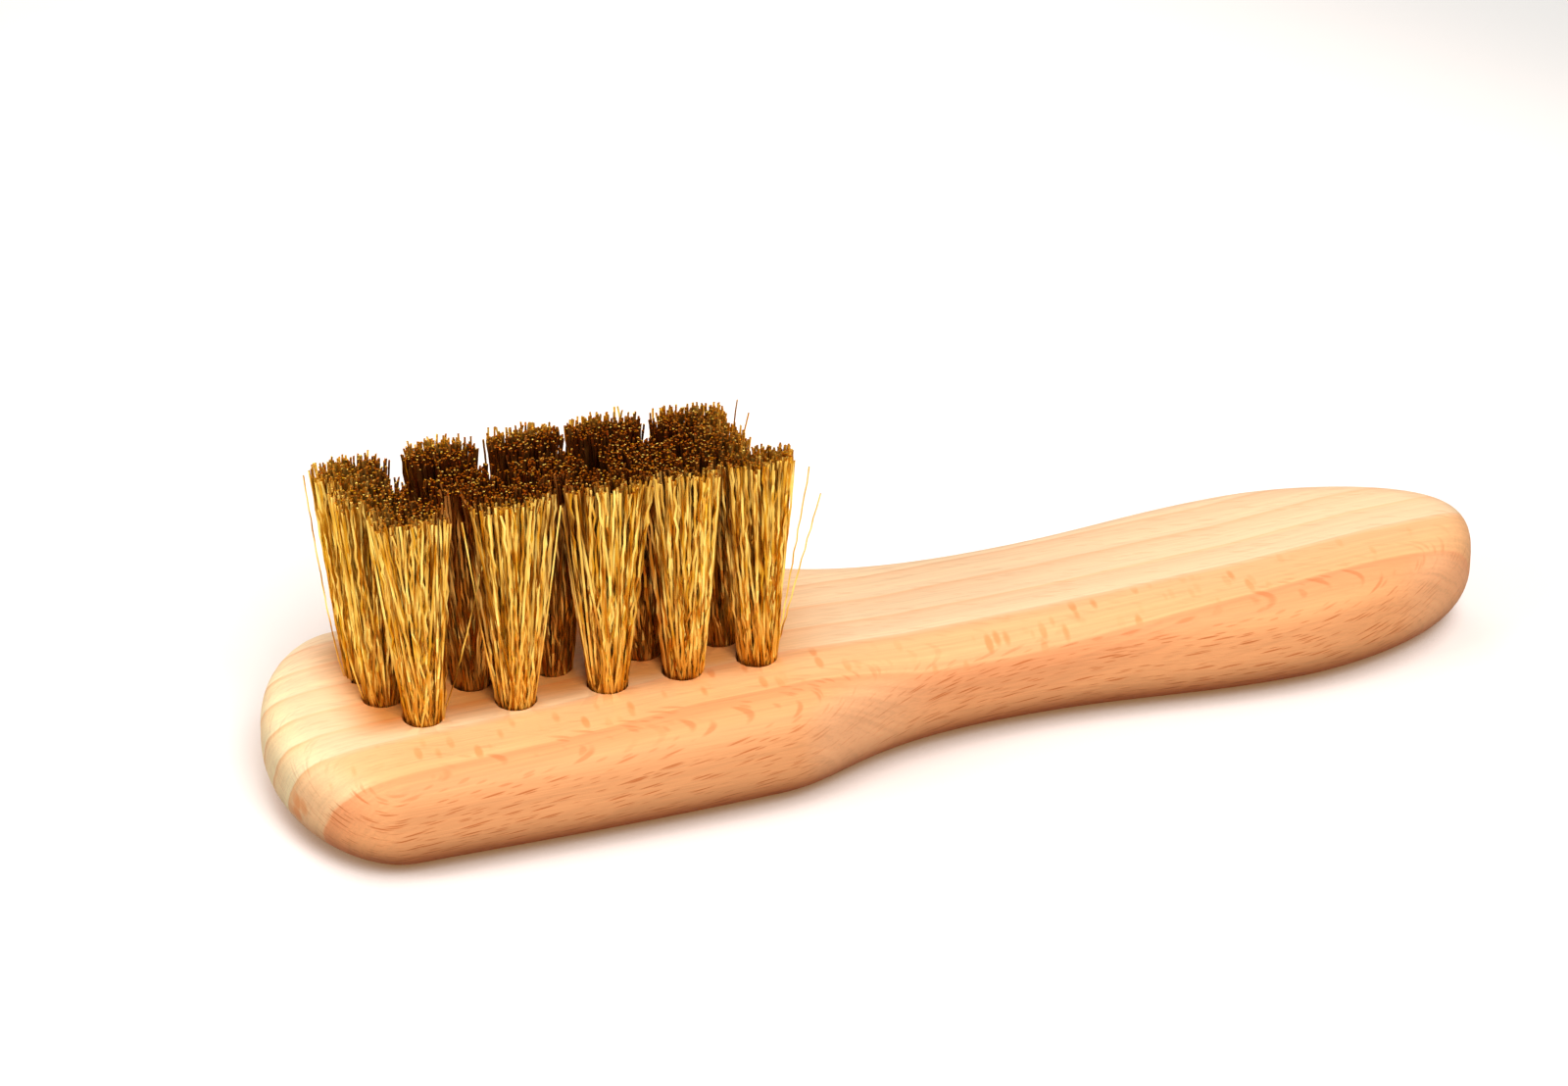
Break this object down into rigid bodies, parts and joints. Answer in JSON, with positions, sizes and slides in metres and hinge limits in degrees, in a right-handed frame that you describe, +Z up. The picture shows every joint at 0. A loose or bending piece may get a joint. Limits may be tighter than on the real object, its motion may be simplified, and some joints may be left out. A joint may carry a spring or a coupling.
{
  "type": "brass wire brush",
  "caption": "Small hand brush for suede and shoes: a flat one-piece beech head and handle with rows of crimped brass wire tufts, lying on its back",
  "frame": {"origin": "the middle of the object's box in X and Y, at the lowest point of the body, which lies on its back", "axes": "+X runs along the brush from the head to the end of the handle, +Y across the brush towards its back row of tufts, +Z up, out of the face that holds the wires"},
  "size_m": [0.151, 0.0382, 0.0418],
  "materials": {
    "beech": "fine sanded, unvarnished",
    "brass_wire": "bright crimped wire",
    "anchor_steel": "plain flat wire"
  },
  "bodies": {
    "root": {"wooden_body": "beech", "tuft_front_1": "brass_wire", "tuft_front_2": "brass_wire", "tuft_front_3": "brass_wire", "tuft_front_4": "brass_wire", "tuft_front_5": "brass_wire", "tuft_middle_1": "brass_wire", "tuft_middle_2": "brass_wire", "tuft_middle_3": "brass_wire", "tuft_middle_4": "brass_wire", "tuft_middle_5": "brass_wire", "tuft_back_1": "brass_wire", "tuft_back_2": "brass_wire", "tuft_back_3": "brass_wire", "tuft_back_4": "brass_wire", "tuft_back_5": "brass_wire", "anchor_front_1": "anchor_steel", "anchor_front_2": "anchor_steel", "anchor_front_3": "anchor_steel", "anchor_front_4": "anchor_steel", "anchor_front_5": "anchor_steel", "anchor_middle_1": "anchor_steel", "anchor_middle_2": "anchor_steel", "anchor_middle_3": "anchor_steel", "anchor_middle_4": "anchor_steel", "anchor_middle_5": "anchor_steel", "anchor_back_1": "anchor_steel", "anchor_back_2": "anchor_steel", "anchor_back_3": "anchor_steel", "anchor_back_4": "anchor_steel", "anchor_back_5": "anchor_steel"}
  },
  "joints": []
}
